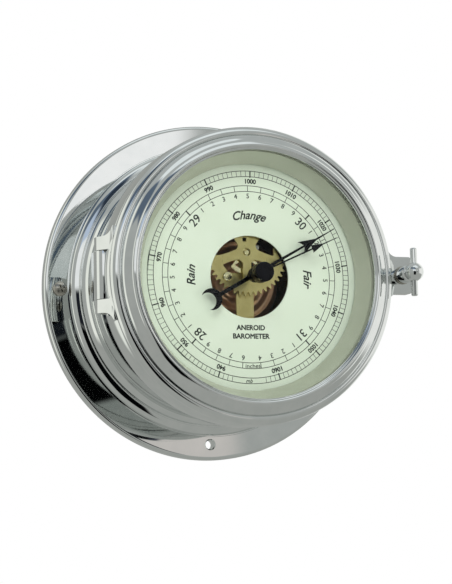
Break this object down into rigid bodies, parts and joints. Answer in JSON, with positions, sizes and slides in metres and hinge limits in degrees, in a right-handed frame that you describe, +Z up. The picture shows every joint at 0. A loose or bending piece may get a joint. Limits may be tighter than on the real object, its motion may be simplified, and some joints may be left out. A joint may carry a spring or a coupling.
{
  "type": "ship barometer",
  "caption": "Round flanged bulkhead barometer: drum case, hinged glazed bezel with T-handled clamp screw, open-centre dial showing an aneroid movement, pointer and set hand.",
  "frame": {"origin": "centre of the flat back face, on the plane of the wall or bulkhead", "axes": "+Z up to twelve o'clock, -Y out of the wall towards the reader, +X to the reader's right"},
  "size_m": [0.178, 0.0919, 0.178],
  "materials": {
    "chrome": "polished chrome plate on brass",
    "brass": "lacquered, lightly brushed",
    "copper": "copper-coloured spring bronze, pressed",
    "steel": "plain turned steel",
    "black": "black lacquer",
    "dial": "matt pale green enamel with black printing",
    "surround": "matt sage enamel",
    "glass": "polished plate glass, bevelled edge",
    "rubber": "matt black"
  },
  "bodies": {
    "case": {"case_body": "chrome", "back_cover": "chrome", "back_cover_screw_1": "steel", "back_cover_screw_2": "steel", "back_cover_screw_3": "steel", "mounting_screw": "steel", "hinge_knuckle": "chrome", "hinge_pin": "steel", "latch_lug": "chrome", "bezel_seal": "rubber", "dial": "dial", "dial_post_1": "brass", "dial_post_2": "brass", "dial_post_3": "brass", "base_plate": "brass", "base_plate_screw_1": "steel", "base_plate_screw_2": "steel", "base_plate_screw_3": "steel", "frame_pillar_upper": "brass", "frame_pillar_lower": "brass", "bridge_pillar_upper": "brass", "bridge_pillar_left": "brass", "bridge_screw_upper": "brass", "bridge_screw_left": "brass", "rear_strap": "brass", "front_bridge": "brass", "rocking_bearing_lower": "brass", "rocking_bearing_upper": "brass", "hairspring": "steel", "hairspring_stud": "brass", "capsule_front": "copper", "capsule_rear": "copper", "capsule_base_stud": "brass", "capsule_carrier": "steel", "carrier_screw": "steel"},
    "bezel": {"bezel": "chrome", "glass": "glass", "glass_gasket": "rubber", "glass_retaining_ring": "surround", "spindle_bush": "black"},
    "set_hand": {"set_hand_knob": "black", "set_hand": "black"},
    "clamp_washer": {"clamp_washer": "steel"},
    "clamp_screw": {"clamp_screw": "chrome", "clamp_bar": "chrome"},
    "pointer": {"pointer_hand": "black", "pointer_arbor": "steel"},
    "sector": {"sector_gear": "brass", "sector_arbor": "brass"},
    "rocking_shaft": {"rocking_shaft": "steel"},
    "link": {"drive_link": "steel"},
    "capsule_stud": {"capsule_stud": "brass"},
    "adjusting_screw": {"adjusting_screw": "brass"}
  },
  "joints": [
    {"name": "bezel_hinge", "type": "hinge", "parent": "case", "child": "bezel", "pos_m": [-0.0743, -0.0623, 0], "axis": [0, 0, -1], "range_deg": [0, 100]},
    {"name": "set_hand_turn", "type": "hinge", "parent": "bezel", "child": "set_hand", "pos_m": [0, -0.077, 0], "axis": [0, -1, 0], "continuous": true},
    {"name": "clamp_travel", "type": "slide", "parent": "bezel", "child": "clamp_washer", "axis": [0, -1, 0], "range_m": [0, 0.003]},
    {"name": "clamp_turn", "type": "hinge", "parent": "clamp_washer", "child": "clamp_screw", "pos_m": [0.083, -0.087, 0.00215], "axis": [0, -1, 0], "range_deg": [0, 1351]},
    {"name": "pointer_turn", "type": "hinge", "parent": "case", "child": "pointer", "pos_m": [0, -0.073, 0], "axis": [0, -1, 0], "range_deg": [-112, 237]},
    {"name": "sector_turn", "type": "hinge", "parent": "case", "child": "sector", "pos_m": [0, -0.0634, 0.013], "axis": [0, -1, 0], "range_deg": [-39.6, 18.8]},
    {"name": "rocking_turn", "type": "hinge", "parent": "case", "child": "rocking_shaft", "pos_m": [0.0065, -0.0555, 0], "axis": [0, 0, 1], "range_deg": [-8, 16.8]},
    {"name": "link_turn", "type": "hinge", "parent": "rocking_shaft", "child": "link", "pos_m": [0.0065, -0.06265, 0.016], "axis": [0, 0, 1], "range_deg": [-16.8, 8]},
    {"name": "capsule_stud_slide", "type": "slide", "parent": "case", "child": "capsule_stud", "axis": [0, -1, 0], "range_m": [-0.00088, 0.00187]},
    {"name": "adjusting_screw_turn", "type": "hinge", "parent": "case", "child": "adjusting_screw", "pos_m": [0.02, -0.03, 0], "axis": [0, 1, 0], "range_deg": [-360, 360]}
  ],
  "couplings": [
    {"joint": "clamp_turn", "follows": "clamp_travel", "rad_per_m": 7854},
    {"joint": "pointer_turn", "follows": "capsule_stud_slide", "rad_per_m": 2209.8},
    {"joint": "sector_turn", "follows": "capsule_stud_slide", "rad_per_m": -366.65},
    {"joint": "rocking_turn", "follows": "capsule_stud_slide", "rad_per_m": 153.85},
    {"joint": "link_turn", "follows": "capsule_stud_slide", "rad_per_m": -153.85}
  ]
}
